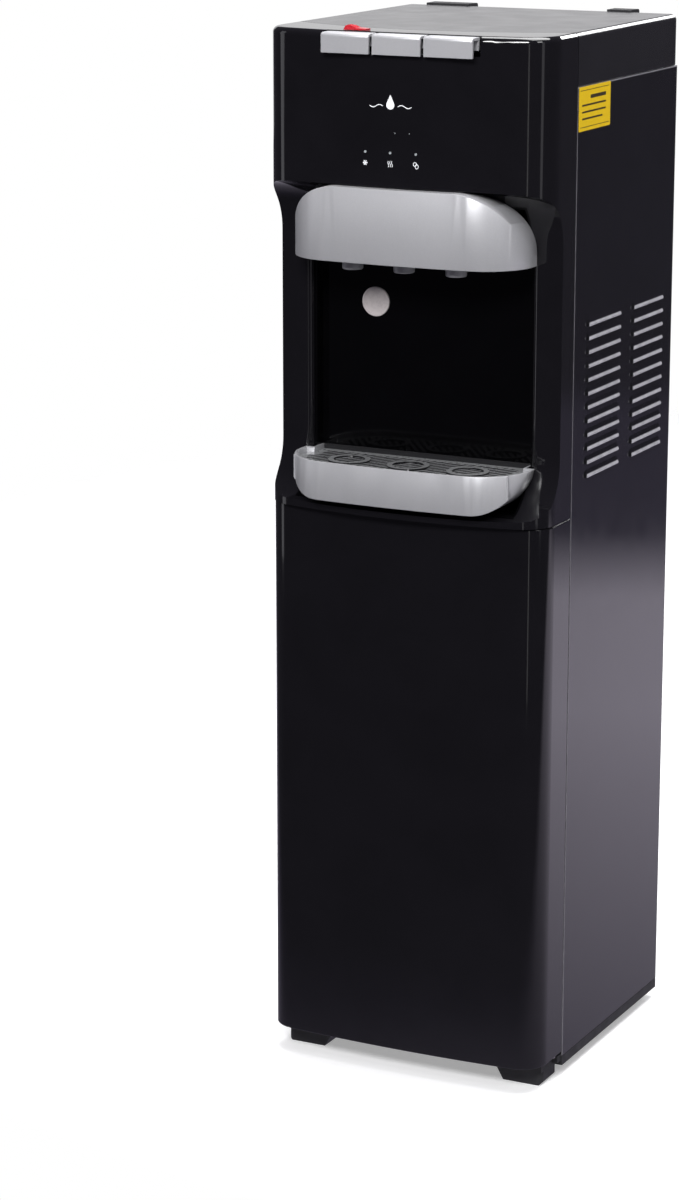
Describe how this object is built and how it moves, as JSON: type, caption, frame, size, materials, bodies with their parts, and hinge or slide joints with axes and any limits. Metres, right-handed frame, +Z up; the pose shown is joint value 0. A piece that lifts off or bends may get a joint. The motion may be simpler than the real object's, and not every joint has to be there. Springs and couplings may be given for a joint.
{
  "type": "bottom-loading water dispenser",
  "caption": "Floor-standing hot, room and cold water dispenser with a bottle compartment behind a hinged door, push paddles, tap canopy and slide-out drip tray.",
  "frame": {"origin": "on the floor, at the middle of the whole object's plan", "axes": "+Z up, -Y is the front with the door and the taps, +X is the user's right"},
  "size_m": [0.3052, 0.375, 1.0499],
  "materials": {
    "gloss_black": "high gloss",
    "painted_black": "glossy powder coat",
    "matte_black": "fine moulded texture",
    "light_liner": "matt",
    "satin_silver": "satin metallic paint",
    "grille_grey": "satin",
    "badge_white": "satin",
    "lock_red": "gloss",
    "switch_green": "gloss",
    "lens_clear": "clear",
    "board_green": "laminate",
    "galvanised": "galvanised",
    "bright_steel": "brushed",
    "black_steel": "semi-gloss black",
    "copper": "drawn copper",
    "silicone": "translucent silicone",
    "rubber": "matt",
    "pump_grey": "moulded"
  },
  "bodies": {
    "cabinet": {"back_panel": "galvanised", "band_heater": "bright_steel", "base_pan": "matte_black", "cold_spring": "bright_steel", "cold_tank": "bright_steel", "cold_tap": "satin_silver", "compressor": "black_steel", "compressor_mounts": "rubber", "condenser_brackets": "galvanised", "condenser_tube": "black_steel", "condenser_wires": "black_steel", "control_box": "matte_black", "cord_gland": "matte_black", "discharge_pipe": "copper", "door_catch": "matte_black", "drain_spout": "silicone", "evaporator_coil": "copper", "foam_jacket": "light_liner", "front_fascia": "gloss_black", "front_feet": "matte_black", "hot_spring": "bright_steel", "hot_tank": "bright_steel", "hot_tap": "satin_silver", "indicator_lenses": "lens_clear", "left_side_panel": "painted_black", "lower_hinge": "bright_steel", "microswitch_board": "board_green", "mid_deck": "galvanised", "niche_panel": "gloss_black", "paddle_axle": "bright_steel", "probe_cap": "matte_black", "probe_hook": "matte_black", "rear_screws": "bright_steel", "right_side_panel": "painted_black", "room_spring": "bright_steel", "room_tap": "satin_silver", "round_badge": "badge_white", "suction_tube": "silicone", "switch_housings": "matte_black", "tank_shelf": "galvanised", "tap_canopy": "satin_silver", "top_cover": "matte_black", "upper_hinge": "bright_steel", "wall_spacers": "matte_black", "water_pipes": "silicone", "water_pump": "pump_grey"},
    "door": {"door": "gloss_black", "door_liner": "light_liner", "strike_plate": "bright_steel"},
    "hot_paddle": {"hot_paddle": "satin_silver"},
    "room_paddle": {"room_paddle": "satin_silver"},
    "cold_paddle": {"cold_paddle": "satin_silver"},
    "child_lock": {"child_lock": "lock_red"},
    "drip_tray": {"drip_tray": "satin_silver"},
    "drip_grille": {"drip_grille": "grille_grey"},
    "rear_foot_left": {"rear_foot_left": "matte_black"},
    "rear_foot_right": {"rear_foot_right": "matte_black"},
    "drain_cap": {"drain_cap": "matte_black"},
    "heater_rocker": {"heater_rocker": "lock_red"},
    "cooler_rocker": {"cooler_rocker": "switch_green"}
  },
  "joints": [
    {"name": "door_swing", "type": "hinge", "parent": "cabinet", "child": "door", "pos_m": [0.1435, -0.1045, 0.3], "axis": [0, 0, 1], "range_deg": [0, 110]},
    {"name": "hot_push", "type": "hinge", "parent": "cabinet", "child": "hot_paddle", "pos_m": [0, -0.1385, 1.033], "axis": [1, 0, 0], "range_deg": [0, 5], "stiffness_Nm_per_rad": 0.8, "springref_deg": -2.86, "deforming": ["hot_spring"]},
    {"name": "room_push", "type": "hinge", "parent": "cabinet", "child": "room_paddle", "pos_m": [0, -0.1385, 1.033], "axis": [1, 0, 0], "range_deg": [0, 5], "stiffness_Nm_per_rad": 0.8, "springref_deg": -2.86, "deforming": ["room_spring"]},
    {"name": "cold_push", "type": "hinge", "parent": "cabinet", "child": "cold_paddle", "pos_m": [0, -0.1385, 1.033], "axis": [1, 0, 0], "range_deg": [0, 5], "stiffness_Nm_per_rad": 0.8, "springref_deg": -2.86, "deforming": ["cold_spring"]},
    {"name": "lock_slide", "type": "slide", "parent": "cabinet", "child": "child_lock", "axis": [0, 1, 0], "range_m": [0, 0.005]},
    {"name": "tray_slide", "type": "slide", "parent": "cabinet", "child": "drip_tray", "axis": [0, -1, 0], "range_m": [0, 0.09]},
    {"name": "grille_lift", "type": "slide", "parent": "drip_tray", "child": "drip_grille", "axis": [0, 0, 1], "range_m": [0, 0.04]},
    {"name": "heater_switch", "type": "hinge", "parent": "cabinet", "child": "heater_rocker", "pos_m": [-0.096, 0.1585, 0.9705], "axis": [1, 0, 0], "range_deg": [0, 14]},
    {"name": "cooler_switch", "type": "hinge", "parent": "cabinet", "child": "cooler_rocker", "pos_m": [-0.06, 0.1585, 0.9705], "axis": [1, 0, 0], "range_deg": [0, 14]},
    {"name": "drain_cap_turn", "type": "hinge", "parent": "cabinet", "child": "drain_cap", "pos_m": [-0.126, 0.17, 0.6218], "axis": [0, 1, 0], "continuous": true},
    {"name": "foot_left_turn", "type": "hinge", "parent": "cabinet", "child": "rear_foot_left", "pos_m": [-0.122, 0.1325, 0.005], "axis": [0, 0, 1], "continuous": true},
    {"name": "foot_right_turn", "type": "hinge", "parent": "cabinet", "child": "rear_foot_right", "pos_m": [0.122, 0.1325, 0.005], "axis": [0, 0, 1], "continuous": true}
  ]
}
